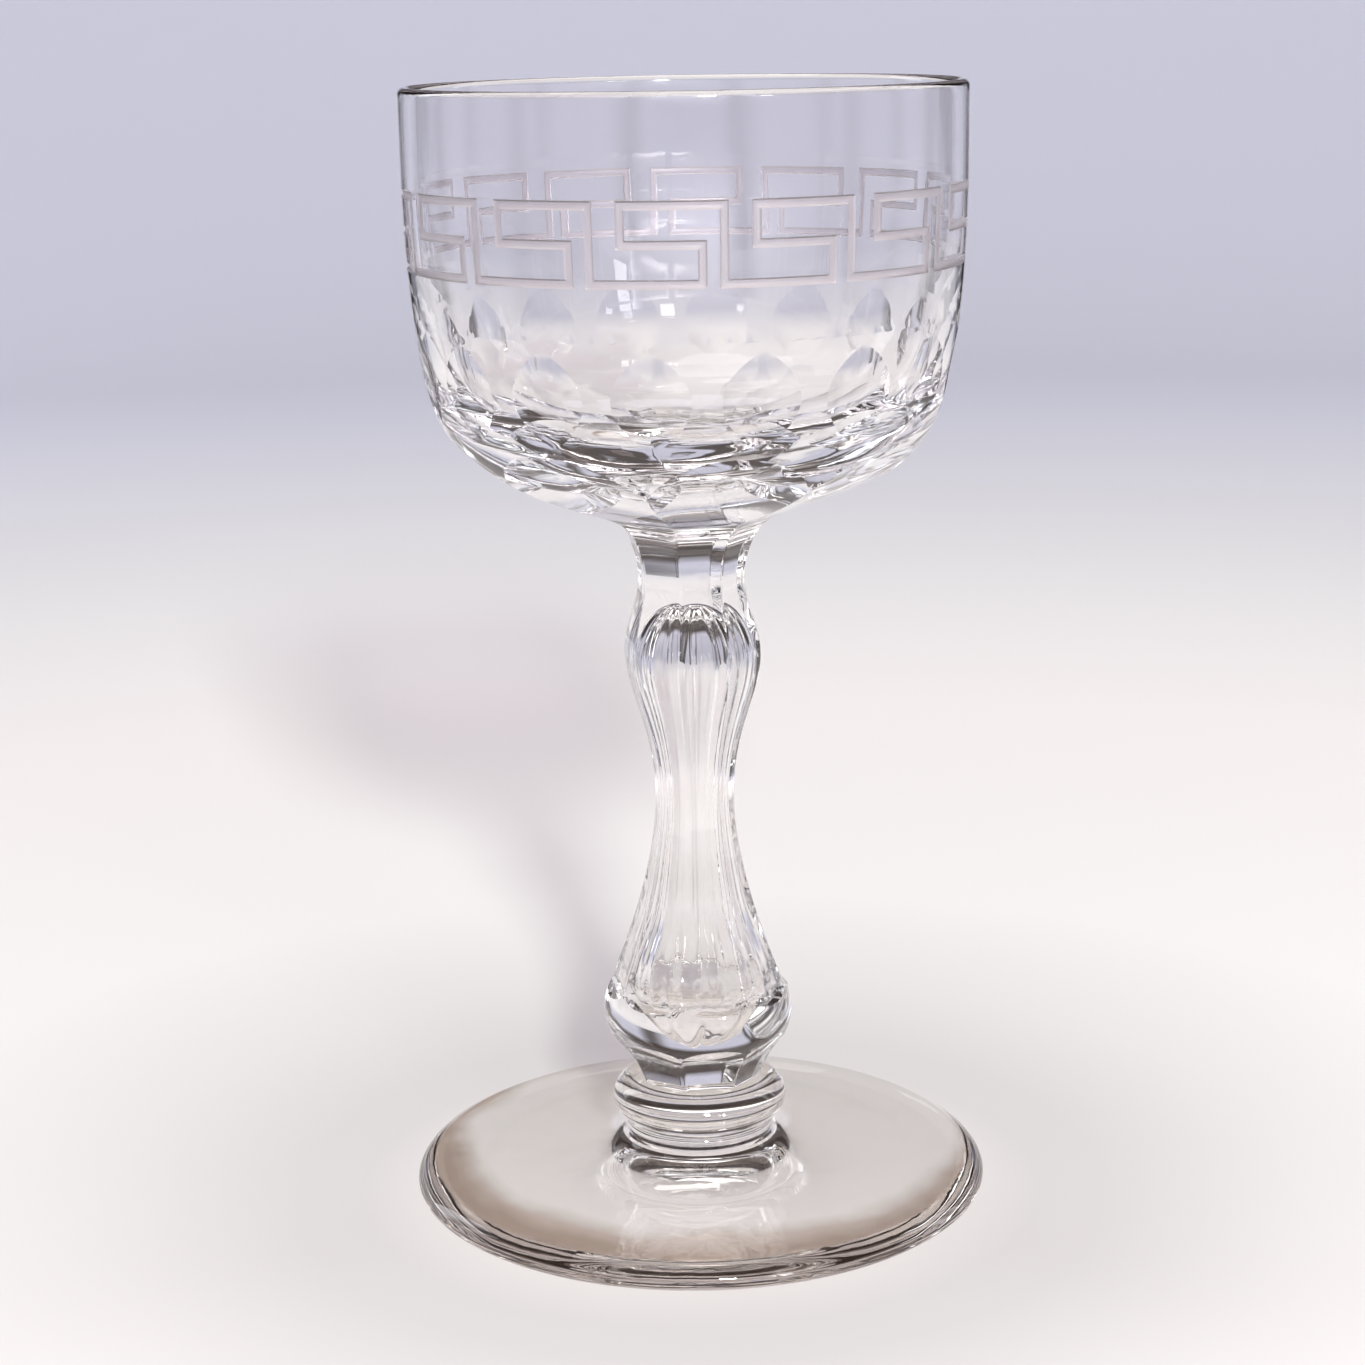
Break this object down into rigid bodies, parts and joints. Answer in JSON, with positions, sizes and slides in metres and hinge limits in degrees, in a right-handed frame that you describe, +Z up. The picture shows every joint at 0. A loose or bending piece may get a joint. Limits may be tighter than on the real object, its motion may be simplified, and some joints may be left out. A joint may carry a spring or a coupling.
{
  "type": "wine glass",
  "caption": "Footed wine glass with a cup-shaped bowl, engraved key band, cut slices, a hollow eight-sided baluster stem, a collar and a round foot.",
  "frame": {"origin": "centre of the flat ring that the foot rests on", "axes": "+Z up along the stem to the rim; X and Y across the glass, -Y towards the viewer"},
  "size_m": [0.0654, 0.0654, 0.125],
  "materials": {
    "bowl_glass": "polished, with matt engraved lines",
    "stem_glass": "polished cut facets",
    "collar_glass": "fire polished",
    "foot_glass": "fire polished, lightly worn underneath"
  },
  "bodies": {
    "root": {"foot": "foot_glass", "collar": "collar_glass", "stem": "stem_glass", "bowl": "bowl_glass"}
  },
  "joints": []
}
